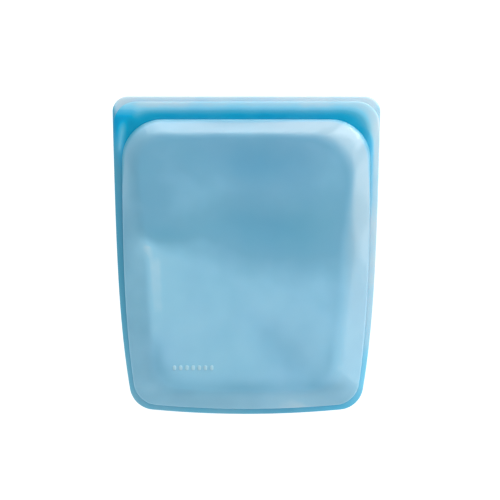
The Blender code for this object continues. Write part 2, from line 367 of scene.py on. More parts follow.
def wall_shell(name, outline, base_z, panel_z, relief, paint):
    """A tray-shaped wall: shoulder and panel, with its thickness, as one closed shell."""
    body, panel = outline.body(), outline.panel()
    side = 1 if panel_z > base_z else -1
    centre = np.array([0.0, (outline.top + outline.bottom) / 2 - PANEL_CENTRE_DROP])
    facing = body - panel
    facing /= np.linalg.norm(facing, axis=1)[:, None]
    above = smooth(body[:, 1] / LEFT_BEND_REACH)
    around = np.exp(-(((body[:, 1] / MM - RIGHT_BEND_Y) / RIGHT_BEND_REACH) ** 2))
    right_bend = BEND + RIGHT_BEND_GROWTH * around
    left_bend = BEND_HIGHER + LEFT_BEND_GROWTH * above
    bend = by_facing(facing, right_bend, left_bend, BEND_HIGHER, BEND)
    foot = by_facing(facing, *FOOT_SIDES)
    steep = STEEP_HEIGHT * by_facing(facing, *STEEP_SIDES)
    inwards = (np.arange(SHOULDER_RINGS + 1) / SHOULDER_RINGS) ** RING_CROWDING
    heights = shoulder_heights(inwards, steep, foot, bend)
    rows = []
    for inward, height in zip(inwards, heights.T):
        xy = body + (panel - body) * inward
        z = base_z + (panel_z - base_z) * height
        softness = smooth((inward - RELIEF_FROM) / (1 - RELIEF_FROM))
        rows.append((xy, z + side * relief(xy[:, 0], xy[:, 1]) * softness, inward))
    for step in range(1, PANEL_RINGS):
        xy = panel + (centre - panel) * step / PANEL_RINGS
        z = panel_z + side * relief(xy[:, 0], xy[:, 1])
        rows.append((xy, z, 1 + PANEL_INWARD * step / PANEL_RINGS))
    size = len(body)
    points = [(*p, h) for xy, z, _ in rows for p, h in zip(xy, z)]
    inwards = [inward for _, _, inward in rows for _ in range(size)]
    faces = ring_faces(len(rows), size)
    last = (len(rows) - 1) * size
    faces += [(last + (i + 1) % size, last + i, len(points)) for i in range(size)]
    points.append((*centre, panel_z + side * relief(*centre)))
    facings = np.vstack([np.tile(facing, (len(rows), 1)), [[0.0, 1.0]]])
    if side < 0:
        faces = [tuple(reversed(f)) for f in faces]
    piece = mesh_from(name, points, faces)
    paint(piece, outline, np.array(inwards + [1 + PANEL_INWARD]), facings)
    solidify = piece.modifiers.new("Wall", "SOLIDIFY")
    solidify.thickness = WALL
    solidify.offset = -1
    solidify.use_even_offset = True
    apply_modifiers(piece)
    return piece


def by_facing(facing, right, left, up, down):
    """A value for each side of the bag, mixed round its corners."""
    x, y = facing[:, 0], facing[:, 1]
    side = np.where(x > 0, right, left) * x**2
    return side + np.where(y > 0, up, down) * y**2


def corner_share(facing, right, up):
    """How much each place faces one corner; right and up are 1 or -1, the corner's directions."""
    return np.clip(right * facing[:, 0], 0, 1) * np.clip(up * facing[:, 1], 0, 1)


# The front wall's tones (how pale) and painted sheen. The shoulders' tones are painted light and
# shade, different on each side and at the corners, and their sheen is a painted reflection of the
# lights. A pair of tones or sheens for one side is for its mouth end and its bottom end. A name in
# _X or _Y is where something starts and ends to show, in millimetres.
PANEL_TONE = 0.36
FOLD_TONE = 0.44  # how much paler the panel is below its fold: painted light
PALEST_PANEL = 0.87
CREST_HIGHLIGHT = 0.17  # a painted highlight along the crest beside the left shoulder
CREST_INSET = 1.0
CREST_WIDTH = 4.6
CREST_TOP_Y = (14, -2)
CREST_BOTTOM_Y = (-74, -50)
CREASE_SHADE = 0.34  # painted shade along the crease where the panel begins, strongest at the bottom
CREASE_WIDTH = 0.24
CREASE_SIDES = (0.2, 0.38, 0, 1)  # how strong it is at the right, left, top and bottom
CREASE_SIDE_Y = (-66, -86)
SIDE_Y = (20, -10)
RIGHT_TONES = (0.48, 0.57)
RIGHT_TONE_Y = (10, -20)
LEFT_TONES = (0.46, 0.62)
TOP_TONE = 0.42
TOP_LEFT_TONE = -0.13  # what is added to it at the left: painted shade
TOP_LEFT_OUTER_X = (-95, -80)
TOP_LEFT_INNER_X = (-8, -28)
BOTTOM_TONE = 0.66
BOTTOM_RIGHT_TONE = 0.46  # what is added to it at the right: painted light
BOTTOM_RIGHT_X = (5, 45)
LOW_RIGHT_CORNER = (0.03, -0.2)  # what a corner adds to the tone and to the painted sheen; at the top right it is a painted highlight
HIGH_RIGHT_CORNER = (-0.18, 0.3)
# A painted highlight on the top left corner of the shoulders.
HIGH_LEFT_HIGHLIGHT = 0.45
HIGH_LEFT_Y = (92, 102)
SHOULDER_END = 1.06  # the shoulders' tones end at this many widths in
LEFT_REACHES = (0.7, 0.3)  # the share of a shoulder's width over which its tone fades out
OTHER_REACHES = (0.30, 0.26, 0.42)  # at the right, top and bottom
# Painted sheen on the shoulders, a painted reflection of the lights: most on the right and at the
# top.
RIGHT_SHEENS = (0.6, 0.45)
TOP_SHEENS = (0.22, 0.45)  # on the left, and on the right
TOP_SHEEN_X = (-90, -30)
BOTTOM_SHEEN = 0.1
SHEEN_WIDTHS = (0.95, 0.45)  # the painted sheen starts and is whole at these many widths in
FOOT_SHARES = (0.10, 0.16, 0.22)  # how wide the painted shade at the foot is at the right, left and top
FOOT_Y = (50, 80)
FOOT_START = 0.02
LEAST_FOOT = 0.001
WHOLE_FOOT = 0.06  # a narrower foot gets less painted shade

# Soft patches of painted light (above 0) and painted shade, for the light and shade on the wall's
# soft dents, folds and corners: how much paler or darker each is, its middle, width and slant. The
# sheen patches say how much painted sheen each adds or takes away.
PANEL_PATCHES = (
    (-0.28, (8, 72), (24, 10), 0),
    (0.10, (-28, 20), (12, 9), 0),
    (-0.08, (20, 2), (20, 10), 0),
    (-0.08, (-36, -11), (14, 8), 0),
    (-0.10, (62, -34), (12, 12), 0),
    (-0.10, (18, -82), (10, 14), 0),
    (0.18, (-75, -45), (4, 15), 0),
    (0.10, (62, 62), (12, 14), 0),
    (0.13, (-45, 9), (20, 4.5), 0),
    (-0.22, (14, 23), (32, 11), -4),
    (-0.15, (-64, 15), (14, 6), -8),
    (-0.17, (30, -78), (22, 8), -48),
    (-0.06, (-71, -82), (8, 16), 0),
    (0.20, (-83, 7), (6, 7), 0),
    (0.16, (-50, 50), (14, 16), 0),
    (0.08, (-22, 55), (10, 20), 0),
    (0.10, (50, 88), (20, 8), -20),
    (0.05, (45, 50), (16, 18), 0),
)
SHOULDER_PATCHES = (
    (0.13, (56, -114), (18, 6), 0),
    (0.14, (80, -30), (8, 30), 0),
    (0.18, (-84, 101), (9, 5), 0),
    (0.10, (90, 80), (6, 12), 0),
    (-0.12, (-96, -4), (5, 9), 0),
)
EDGE_PATCHES = (
    (0.20, (-82, 5), (5, 8), 0),
    (-0.22, (64, -103), (10, 3), 0),
    (0.07, (76, -70), (7, 14), 0),
    (0.12, (-75, -104), (7, 4), 0),
)
SHEEN_PATCHES = ((-0.18, (56, -114), (18, 6), 0),)


def panel_tone(xyz, outline, inward, facing):
    """How pale the panel is: paler below its fold, with patches of painted light and shade, a
    painted highlight along a crest and painted shade along a crease at its edge.
    """
    x, y = xyz[:, 0] / MM, xyz[:, 1] / MM
    tone = PANEL_TONE + FOLD_TONE * fold_share(x, y) + mounds(x, y, PANEL_PATCHES)
    inset = outline.shoulder_inset(LEFT_SHOULDER, xyz[:, 1])
    left_edge = (inset - outline.side_x(xyz[:, 1])) / MM
    crest = bell((x - left_edge - CREST_INSET) / CREST_WIDTH)
    crest = crest * ramp(y, *CREST_TOP_Y) * ramp(y, *CREST_BOTTOM_Y)
    low_side = ramp(y, *CREASE_SIDE_Y)
    right, left, up, down = CREASE_SIDES
    crease = by_facing(facing, right * low_side, left * low_side, up, down)
    crease = crease * bell((inward - 1) / CREASE_WIDTH)
    return np.minimum(tone + CREST_HIGHLIGHT * crest - CREASE_SHADE * crease, PALEST_PANEL)


def shoulder_tone(x, y, facing):
    """How pale the shoulders are, in millimetres: painted light and shade, different on each side
    and at the corners.
    """
    right_tone = mix(*RIGHT_TONES, ramp(y, *RIGHT_TONE_Y))
    left_tone = mix(*LEFT_TONES, ramp(y, *SIDE_Y))
    at_top_left = ramp(x, *TOP_LEFT_OUTER_X) * ramp(x, *TOP_LEFT_INNER_X)
    top_tone = TOP_TONE + TOP_LEFT_TONE * at_top_left
    bottom_tone = BOTTOM_TONE + BOTTOM_RIGHT_TONE * ramp(x, *BOTTOM_RIGHT_X)
    tone = by_facing(facing, right_tone, left_tone, top_tone, bottom_tone)
    tone = tone + LOW_RIGHT_CORNER[0] * corner_share(facing, 1, -1)
    tone = tone + HIGH_RIGHT_CORNER[0] * corner_share(facing, 1, 1)
    at_high_left = corner_share(facing, -1, 1) * ramp(y, *HIGH_LEFT_Y)
    tone = tone + HIGH_LEFT_HIGHLIGHT * at_high_left
    return tone + mounds(x, y, SHOULDER_PATCHES)


def shoulder_sheen(x, y, inward, facing):
    """How much painted sheen the shoulders take, in millimetres: a painted reflection of the
    lights, most on the right and at the top.
    """
    right_sheen = mix(*RIGHT_SHEENS, ramp(y, *SIDE_Y))
    top_sheen = mix(*TOP_SHEENS, ramp(x, *TOP_SHEEN_X))
    sheen_and_shade = by_facing(facing, right_sheen, 0.0, top_sheen, BOTTOM_SHEEN)
    sheen_and_shade = sheen_and_shade + LOW_RIGHT_CORNER[1] * corner_share(facing, 1, -1)
    sheen_and_shade = sheen_and_shade + HIGH_RIGHT_CORNER[1] * corner_share(facing, 1, 1)
    return (sheen_and_shade + mounds(x, y, SHEEN_PATCHES)) * ramp(inward, *SHEEN_WIDTHS)


def foot_shade(y, inward, facing):
    """How much painted shade the foot of the shoulder gets, 0 to 1, beside the valley round it."""
    above = ramp(y, *FOOT_Y)
    right, left, up = FOOT_SHARES
    foot = np.maximum(by_facing(facing, right * above, left * above, up, 0.0), LEAST_FOOT)
    return (1 - smooth((inward - FOOT_START) / foot)) * np.clip(foot / WHOLE_FOOT, 0, 1)


def paint_front(piece, outline, inward, facing):
    """Paints the front wall's tones: the panel's, with its painted light and shade, and the
    shoulders' painted light, sheen and shade, with painted shade at their foot.
    """
    xyz = points_of(piece)
    x, y = xyz[:, 0] / MM, xyz[:, 1] / MM
    left_reach = mix(*LEFT_REACHES, ramp(y, *SIDE_Y))
    right_reach, top_reach, bottom_reach = OTHER_REACHES
    reach = by_facing(facing, right_reach, left_reach, top_reach, bottom_reach)
    on_shoulder = smooth((SHOULDER_END - inward) / reach)
    tone = mix(panel_tone(xyz, outline, inward, facing), shoulder_tone(x, y, facing), on_shoulder)
    sheen_and_shade = np.clip(shoulder_sheen(x, y, inward, facing), 0, 1) * on_shoulder
    foot_shade_share = foot_shade(y, inward, facing)
    set_tone(piece, tone + mounds(x, y, EDGE_PATCHES), sheen_and_shade * (1 - foot_shade_share) - foot_shade_share)


BACK_TONE = 0.5


def paint_back(piece, outline, inward, facing):
    """The back wall is plain, so only its number of points matters here."""
    set_tone(piece, np.full(len(inward), BACK_TONE), 0)


SHARP_ANGLE = 50  # edges sharper than this, in degrees, are drawn sharp
BAR_SHARP_ANGLE = 40

# The bands round the body. Shares run from the outer edge (0) in to the body (1).
BAND_SHARES = [
    0.0, 0.015, 0.04, 0.075, 0.11, 0.15, 0.20, 0.26, 0.32, 0.38, 0.43, 0.48,
    0.53, 0.58, 0.63, 0.69, 0.76, 0.84, 0.92, 1.0, 1.12,
]
UNDER_STRIP_SHARES = (1.12, 1.0, 0.9, 0.8, 0.7, 0.6, 0.5)
UNDER_LIP_SHARES = (0.44, 0.36, 0.28, 0.20, 0.12, 0.02)
INNER_SHARE = 1.12  # the bands reach this far, a little way under the body
FUSED_X = 98.6 * MM  # the mouth is fused from here outwards
FUSED_FADE = 4.0 * MM
MOUTH_FROM_Y = 80.0 * MM
JOIN_GAP = 0.02 * MM  # from the middle of the rim to each band, where they are fused
STRIP_GAP = 0.05 * MM
FUSED_EDGE = 0.06 * MM  # how far above its underside the band's edge is rounded, where fused
LIP_EDGE = 0.45 * MM  # and at the lip
EDGE_STEP = 0.06 * MM  # the least height of that edge
FLANGE_RISE = 0.25 * MM  # how far the flange's crest stands above the frame's rim
VALLEY_RISE = 0.38 * MM
BRINK_DROP = 0.5 * MM
FLANGE_DIP = 0.95 * MM
LIP_DIP = 0.28 * MM
FLANGE_CURVE = 1.4  # above 1 keeps the flange's dip near its edge
LIP_DIP_SHARE = 0.4
TUCK = 0.3 * MM  # how far the band's last row dips under the body
# A pair is for the fused rim and for the mouth. A name in _X or _Y is where something starts
# and ends to show, in millimetres, and one in _SPAN is the same in shares.
VALLEY_STARTS = (1.35, 0.46)  # the share about halfway down into the valley
VALLEY_SPAN = (0.30, 0.64)  # where the surface goes down into it, as at the mouth
EDGE_ROUNDS = (0.11, 0.2)  # the share in which the edge is rounded
FRONT_MOUTH_Y = (70, 106)
BACK_MOUTH_Y = (70, 100)
LEFTWARD_X = (60, -40)

# How pale the front lip is from its outer edge in to the valley: painted light at its thin edge,
# where light shows through, and darker into the valley, partly for the thicker silicone and partly
# as painted shade.
LIP_SHARES = (0.0, 0.05, 0.11, 0.23, 0.34, 0.46, 0.57, 0.69, 0.80)
LIP_TONES = (0.90, 0.90, 0.89, 0.84, 0.77, 0.61, 0.40, 0.18, 0.11)
LEFT_LIP_TONE = 0.06  # how much paler it is towards the left
LEFT_LIP_X = (-30, -70)
LEFT_LIP_END = 0.6
VALLEY_END_TONE = 0.30  # how much paler the valley is beside the body: painted light where the lit shoulder begins
VALLEY_END_SPAN = (0.84, 1.04)
VALLEY_END_Y = (104, 112)
# How pale the rim's right side is, by the height up the bag in millimetres: painted light, where it
# faces the lights.
RIM_HEIGHTS = (-112, -90, -70, 0, 60)
RIM_TONES = (0.62, 0.74, 0.85, 0.93, 0.99)
LEFT_RIM_TONES = (0.82, 0.25)  # its left side, at the bottom and beside the mouth, with painted shade towards the mouth
LEFT_RIM_Y = (-40, 60)
# And how pale the right side is beside the body: painted shade from the body's steep side, most
# towards the mouth.
ROOT_HEIGHTS = (-60, 20, 60, 75, 88, 97)
ROOT_TONES = (0.98, 0.95, 0.86, 0.74, 0.48, 0.12)
ROOT_SPAN = (0.5, 0.85)
# How shaded the fused rim is at the bottom, on the right and on the left.
LOW_SHADES = (0.66, 0.52)
LOW_SHADE_Y = (-100, -10)
SHADE_X = (75, 15)
FRONT_SHADE_Y = (88, 52)
BACK_SHADE_Y = (94, 82)
# How pale the rim's left corner is, by the same height: painted shade, with a painted highlight
# streak in it.
CORNER_HEIGHTS = (94, 106, 110, 113, 116, 119, 122)
CORNER_TONES = (0.10, 0.04, 0.08, 0.34, 0.68, 0.82, 0.88)
CORNER_Y = (78, 94)
STREAK_HIGHLIGHT = 0.52
STREAK_X = -98.4
STREAK_Y = 101.5
STREAK_SLANT = 2.9 / 20
STREAK_WIDTH = 1.9
STREAK_TOP_Y = (109, 97)
STREAK_BOTTOM_Y = (77, 85)
CORNER_X = -84.0 * MM  # the left corner's tones begin here, and are whole 8 mm further out
CORNER_FADE = 8.0 * MM
CORNER_FROM_Y = 60.0 * MM


def left_corner_tone(x, y, side_tone):
    """How pale the rim's shaded left corner is, in millimetres: painted shade, with a painted
    highlight streak in it.
    """
    lip = np.interp(y, CORNER_HEIGHTS, CORNER_TONES)
    tone = mix(side_tone, lip, ramp(y, *CORNER_Y))
    streak_x = STREAK_X - STREAK_SLANT * (STREAK_Y - y)
    streak = bell((x - streak_x) / STREAK_WIDTH)
    return tone + STREAK_HIGHLIGHT * streak * ramp(y, *STREAK_TOP_Y) * ramp(y, *STREAK_BOTTOM_Y)


def mouth_gap(xy):
    """1 where the mouth is open between its fused ends, 0 round the rest of the rim."""
    inside = smooth((FUSED_X - np.abs(xy[:, 0])) / FUSED_FADE)
    return inside * (xy[:, 1] > MOUTH_FROM_Y)


def flange_shade(across, height):
    """How shaded the fused rim is: not at its right or by the mouth, and less at the bottom."""
    lowest = mix(*LOW_SHADES, ramp(across, *LEFTWARD_X))
    low_shade = mix(lowest, 1, ramp(height, *LOW_SHADE_Y))
    return ramp(across, *SHADE_X) * ramp(height, *FRONT_SHADE_Y) * low_shade


def front_band(name, outline):
    """The front of the rim in one ring: the fused flange, and the lip and valley at the mouth."""
    edge, body = outline.front_edge(), outline.body()
    lip_low, lip_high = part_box("front_lip")
    strip_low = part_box("front_closure_strip")[0]
    across, height = body[:, 0] / MM, body[:, 1] / MM
    mouth = ramp(height, *FRONT_MOUTH_Y)
    gap = mouth_gap(body)
    valley_start = mix(*VALLEY_STARTS, mouth**0.5)
    crest = mix(outline.seam_high + FLANGE_RISE, lip_high.z, mouth)
    fused_under = outline.middle + JOIN_GAP
    lip_under = mix(fused_under, lip_low.z, gap)
    strip_under = mix(fused_under, strip_low.z - STRIP_GAP, gap)
    valley = np.full(len(body), outline.seam_high + VALLEY_RISE)
    lowest = lip_under + mix(FUSED_EDGE, LIP_EDGE, gap)
    least_brink = lowest + EDGE_STEP
    brink = mix(least_brink, np.maximum(least_brink, crest - BRINK_DROP), mouth)
    leftward = ramp(across, *LEFTWARD_X)
    paler = LEFT_LIP_TONE * ramp(across, *LEFT_LIP_X)
    # The rim's tones are painted light on its right, and painted shade on its left, beside the body
    # and in its left corner.
    left_tone = mix(*LEFT_RIM_TONES, ramp(height, *LEFT_RIM_Y))
    side_tone = mix(np.interp(height, RIM_HEIGHTS, RIM_TONES), left_tone, leftward)
    root_tone = mix(np.interp(height, ROOT_HEIGHTS, ROOT_TONES), 1.0, leftward)
    points, tones = [], []

    def add(share, z, tone):
        xy = edge + (body - edge) * share
        points.extend((*p, h) for p, h in zip(xy, z))
        tones.append(np.broadcast_to(tone, len(xy)))

    for share in UNDER_STRIP_SHARES:
        add(share, strip_under, side_tone)
    for share in UNDER_LIP_SHARES:
        add(share, lip_under, side_tone)
    add(0.0, lowest, side_tone)
    for share in BAND_SHARES:
        xy = edge + (body - edge) * share
        rounded = np.sqrt(1 - (1 - np.minimum(share / mix(*EDGE_ROUNDS, mouth), 1)) ** 2)
        flange_dip = FLANGE_DIP * (1 - min(share, 1)) ** FLANGE_CURVE
        lip_dip = LIP_DIP * min(share / LIP_DIP_SHARE, 1)
        lip_z = mix(brink, crest - mix(flange_dip, lip_dip, mouth), rounded)
        past = share - (valley_start - VALLEY_STARTS[1])
        z = mix(lip_z, valley, ramp(past, *VALLEY_SPAN))
        if share > 1:
            z = z - TUCK
        lip_tone = np.interp(past, LIP_SHARES, LIP_TONES) + paler * (past < LEFT_LIP_END)
        beside_body = ramp(share, *VALLEY_END_SPAN) * ramp(height, *VALLEY_END_Y)
        tone = mix(side_tone, lip_tone + VALLEY_END_TONE * beside_body, mouth)
        tone = np.minimum(tone, mix(1, root_tone, ramp(share, *ROOT_SPAN)))
        corner_tone = left_corner_tone(xy[:, 0] / MM, xy[:, 1] / MM, side_tone)
        in_corner = smooth((CORNER_X - xy[:, 0]) / CORNER_FADE) * (xy[:, 1] > CORNER_FROM_Y)
        add(share, z, mix(tone, corner_tone, in_corner))
    count = len(points) // len(edge)
    faces = ring_faces(count, len(edge), closed_section=True)
    piece = mesh_from(name, points, faces, SHARP_ANGLE)
    set_tone(piece, np.concatenate(tones), np.tile(flange_shade(across, height), count))
    return piece


LIP_ROOT_GAP = 0.03  # the share on each side of the back lip's root where the strip meets it
LIP_ROWS = 12
LIP_LAST_SHARE = 0.06
BACK_TOP_ROUNDS = (0.06 * MM, 0.9 * MM)  # how rounded its top edge is, fused and at the mouth
BACK_BOTTOM_ROUND = (0.8 * MM, 0.25 * MM)  # and its bottom edge, at the edge and just inside it
EDGE_SHARE = 0.018
EDGE_DROP = 0.3  # the share of the top edge's rounding that is reached there
BACK_TONES = (0.92, 1.0)
BACK_TONE_Y = (88, 100)


def back_band(name, outline):
    """The back of the rim in one ring: the fused flange, the closure strip and the taller lip."""
    edge, body = outline.outer(), outline.body()
    lip_low, lip_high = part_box("back_lip")
    strip_low, strip_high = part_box("back_closure_strip")
    across, height = body[:, 0] / MM, body[:, 1] / MM
    gap = mouth_gap(body)
    mouth = ramp(height, *BACK_MOUTH_Y)
    lip_top = mix(outline.middle - JOIN_GAP, lip_high.z, gap)
    strip_top = mix(outline.middle - JOIN_GAP, strip_high.z, gap)
    lip_bottom = mix(outline.seam_low, lip_low.z, mouth)
    strip_bottom = mix(outline.seam_low, strip_low.z, mouth)
    root = (outline.top - lip_low.y) / (outline.top - outline.body_top)
    top_round = mix(*BACK_TOP_ROUNDS, gap)
    lip_shares = list(np.linspace(root - LIP_ROOT_GAP, LIP_LAST_SHARE, LIP_ROWS))
    section = [(INNER_SHARE, strip_top), (root + LIP_ROOT_GAP, strip_top)]
    section += [(share, lip_top) for share in lip_shares]
    section += [(EDGE_SHARE, lip_top - top_round * EDGE_DROP), (0.0, lip_top - top_round)]
    section += [(0.0, lip_bottom + BACK_BOTTOM_ROUND[0])]
    section += [(EDGE_SHARE, lip_bottom + BACK_BOTTOM_ROUND[1])]
    section += [(share, lip_bottom) for share in reversed(lip_shares)]
    section += [(root + LIP_ROOT_GAP, strip_bottom), (INNER_SHARE, strip_bottom)]
    # Painted shade on the rim away from its right side and below the mouth.
    shaded = ramp(across, *SHADE_X) * ramp(height, *BACK_SHADE_Y)
    tone = mix(*BACK_TONES, ramp(height, *BACK_TONE_Y))
    points = [(*p, h) for share, z in section for p, h in zip(edge + (body - edge) * share, z)]
    faces = ring_faces(len(section), len(edge), closed_section=True)
    piece = mesh_from(name, points, [tuple(reversed(f)) for f in faces], SHARP_ANGLE)
    set_tone(piece, np.tile(tone, len(section)), np.tile(shaded, len(section)))
    return piece


FOLD_LENGTH = 5.0 * MM  # the bend's weight rises over this length from the back lip's root
LIP_FREE_X = 104.0 * MM  # and is 0 from here outwards
LIP_FREE_FADE = 14.0 * MM


def fold_back_lip(piece):
    """Bakes the back ring's transform and works out how far each point would follow the lip's bend
    about its root, less and less towards its fused ends; the lip is not bent.
    """
    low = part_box("back_lip")[0]
    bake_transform(piece)
    xyz = points_of(piece)
    weight = smooth((xyz[:, 1] - low.y) / FOLD_LENGTH)
    weight = weight * smooth((LIP_FREE_X - np.abs(xyz[:, 0])) / LIP_FREE_FADE)


def bar_along_x(name, section, half_length):
    """A profile of (y, z) points, drawn along X and closed at both ends."""
    xs = np.linspace(-half_length, half_length, BAR_STEPS + 1)
    points = [(x, y, z) for x in xs for y, z in section]
    size = len(section)
    faces = [tuple(reversed(f)) for f in ring_faces(len(xs), size)]
    faces.append(tuple(reversed(range(size))))
    faces.append(tuple(range(len(points) - size, len(points))))
    piece = mesh_from(name, points, faces, BAR_SHARP_ANGLE)
    set_tone(piece, CLOSURE_TONE)
    return piece


def rounded_section(y_low, y_high, z_low, z_high, radius, corners=5):
    """A rectangle with rounded corners, as (y, z) points."""
    points = []
    centres = (
        (y_high - radius, z_high - radius, 0),
        (y_low + radius, z_high - radius, 1),
        (y_low + radius, z_low + radius, 2),
        (y_high - radius, z_low + radius, 3),
    )
    for y, z, quarter in centres:
        for k in range(corners):
            angle = math.pi / 2 * (quarter + k / (corners - 1))
            points.append((y + radius * math.cos(angle), z + radius * math.sin(angle)))
    return points


CLOSURE_TONE = 0.1
RIB_SINK = 0.25 * MM  # how far the rib's foot lies within the strip
RIB_ROUND = 0.7 * MM
RAIL_SINK = 0.2 * MM
GROOVE_HALF = 1.6 * MM
GROOVE_FLOOR = 0.6 * MM  # what is left above the groove


def closure_profiles():
    """The rib on the back strip and the two rails of the channel that it presses into."""
    low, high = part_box("seal_rib")
    section = rounded_section(low.y, high.y, low.z - RIB_SINK, high.z, RIB_ROUND)
    rib = bar_along_x("seal_rib_skin", section, high.x)
    low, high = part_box("seal_channel")
    centre = (low.y + high.y) / 2
    left, right = centre - GROOVE_HALF, centre + GROOVE_HALF
    groove_top = high.z - GROOVE_FLOOR
    # Each rail and the groove have their corners cut by a few tenths of a millimetre.
    section = [
        (high.y, high.z + RAIL_SINK), (low.y, high.z + RAIL_SINK),
        (low.y, low.z + 0.5 * MM), (low.y + 0.2 * MM, low.z + 0.1 * MM),
        (low.y + 0.6 * MM, low.z), (left - 0.4 * MM, low.z + 0.1 * MM),
        (left, low.z + 0.6 * MM), (left, groove_top - 0.3 * MM),
        (left + 0.3 * MM, groove_top), (right - 0.3 * MM, groove_top),
        (right, groove_top - 0.3 * MM), (right, low.z + 0.6 * MM),
        (right + 0.4 * MM, low.z + 0.1 * MM), (high.y - 0.6 * MM, low.z),
        (high.y - 0.2 * MM, low.z + 0.1 * MM), (high.y, low.z + 0.5 * MM),
    ]
    channel = bar_along_x("seal_channel_skin", section, high.x)
    return rib, channel


STUD_COUNT = 7
STUD_POINTS = 20
STUD_HALF = (1.35 * MM, 1.9 * MM)  # half of its width and of its height
STUD_SQUARENESS = 0.7  # 1 is an ellipse, and less is squarer
# A stud's rings: how wide each is, and how far above the panel, in millimetres.
STUD_RINGS = ((1.0, -0.3), (1.0, 0.12), (0.93, 0.26), (0.78, 0.34), (0.4, 0.36))


def squared(wave):
    return math.copysign(abs(wave) ** STUD_SQUARENESS, wave)


def plain_mark(name, outline):
    """A row of small plain raised studs in place of lettering, lying on the soft panel."""
    low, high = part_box("raised_mark")
    pitch = (high.x - low.x) / STUD_COUNT
    middle_y = (low.y + high.y) / 2
    points, faces = [], []
    for k in range(STUD_COUNT):
        centre_x = low.x + pitch * (k + 0.5)
        start = len(points)
        for shrink, lift in STUD_RINGS:
            for i in range(STUD_POINTS):
                angle = -2 * math.pi * i / STUD_POINTS
                x = centre_x + STUD_HALF[0] * shrink * squared(math.cos(angle))
                y = middle_y + STUD_HALF[1] * shrink * squared(math.sin(angle))
                z = outline.front_z + float(sag(np.array([x]), np.array([y]))[0]) + lift * MM
                points.append((x, y, z))
        faces += [tuple(start + v for v in f) for f in ring_faces(len(STUD_RINGS), STUD_POINTS)]
        top = start + (len(STUD_RINGS) - 1) * STUD_POINTS
        faces.append(tuple(top + i for i in reversed(range(STUD_POINTS))))
        faces.append(tuple(start + i for i in range(STUD_POINTS)))
    piece = mesh_from(name, points, faces, SHARP_ANGLE)
    set_tone(piece, 1.0)
    return piece


def opening_weight(xy, outline):
    """How far each point follows the opening front: 1 along the middle, 0 at the fused sides."""
    half = outline.side_x(xy[:, 1]) - outline.rim_width(xy[:, 1])
    share = np.clip(np.abs(xy[:, 0]) / half, 0, 1)
    return (1 + np.cos(math.pi * share)) / 2


def open_with_mouth(piece, outline):
    """Bakes a front piece's transform and works out how far each point would follow the opening
    front; the piece is not bent and the mouth does not open.
    """
    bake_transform(piece)
    weight = opening_weight(points_of(piece)[:, :2], outline).astype(np.float32)


BODY_RAMP = (
    (0.0, (0.065, 0.31, 0.49)),
    (0.4, (0.118, 0.365, 0.54)),
    (0.75, (0.22, 0.51, 0.705)),
    (0.87, (0.25, 0.545, 0.735)),
    (1.0, (0.47, 0.67, 0.79)),
)
BAND_RAMP = (
    (0.0, (0.0, 0.268, 0.555)),
    (0.12, (0.0, 0.378, 0.69)),
    (0.52, (0.09, 0.485, 0.755)),
    (0.78, (0.24, 0.615, 0.835)),
    (1.0, (0.525, 0.665, 0.75)),
)
MARK_RAMP = ((0.0, (0.28, 0.56, 0.74)), (1.0, (0.38, 0.635, 0.78)))
PAINTED_SHEEN = (0.235, 0.375, 0.455)  # painted sheen on the body's shoulders, a painted reflection of the lights
SHADED = (0.095, 0.365, 0.535)  # painted shade on the fused rim, away from the lights on its left and towards the bottom
FOOT_SHADE_COLOUR = (0.0, 0.29, 0.46)  # painted shade on the steep foot of the body's shoulder, beside the valley round it


NOISE_LOW, NOISE_HIGH = 0.3, 0.7  # what the noise is stretched from
CLOUD_SCALE, CLOUD_TONE = 30, 0.07
HUE_SCALE, HUES = 11, (0.493, 0.500)
WEAR_SCALE, WEAR = 90, 0.05  # how finely the roughness varies, and by how much
GRAIN_SCALE, GRAIN_STRENGTH, GRAIN_DEPTH = 1600, 0.12, 0.1 * MM
SUBSURFACE, SUBSURFACE_SCALE, SUBSURFACE_RADIUS = 0.3, 0.003, (0.4, 0.9, 1.0)
IOR = 1.45
COAT_ROUGHNESS = 0.08


